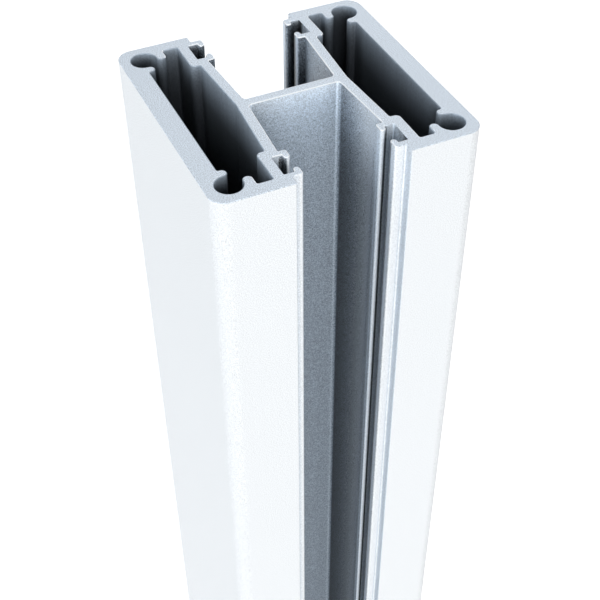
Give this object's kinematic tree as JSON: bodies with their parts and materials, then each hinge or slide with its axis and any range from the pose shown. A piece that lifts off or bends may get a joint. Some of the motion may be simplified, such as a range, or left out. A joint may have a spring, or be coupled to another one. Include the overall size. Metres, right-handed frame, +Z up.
{
  "type": "fence post",
  "caption": "Upright extruded aluminium fence post of H-shaped section, with a board slot on each side of its web, gasket grooves at the slot mouths and screw ports in its hollow flanges.",
  "frame": {"origin": "middle of the foot, at the centre of the web in the lower cut end", "axes": "+Z up the post, +X along the web from flange to flange, +Y along the depth of the board slots"},
  "size_m": [0.07, 0.07, 1.9],
  "materials": {
    "coated_aluminium": "satin pale silver coat with a very fine grain on the drawn faces; bare sawn metal on the two cut ends"
  },
  "bodies": {
    "root": {"post_profile": "coated_aluminium"}
  },
  "joints": []
}
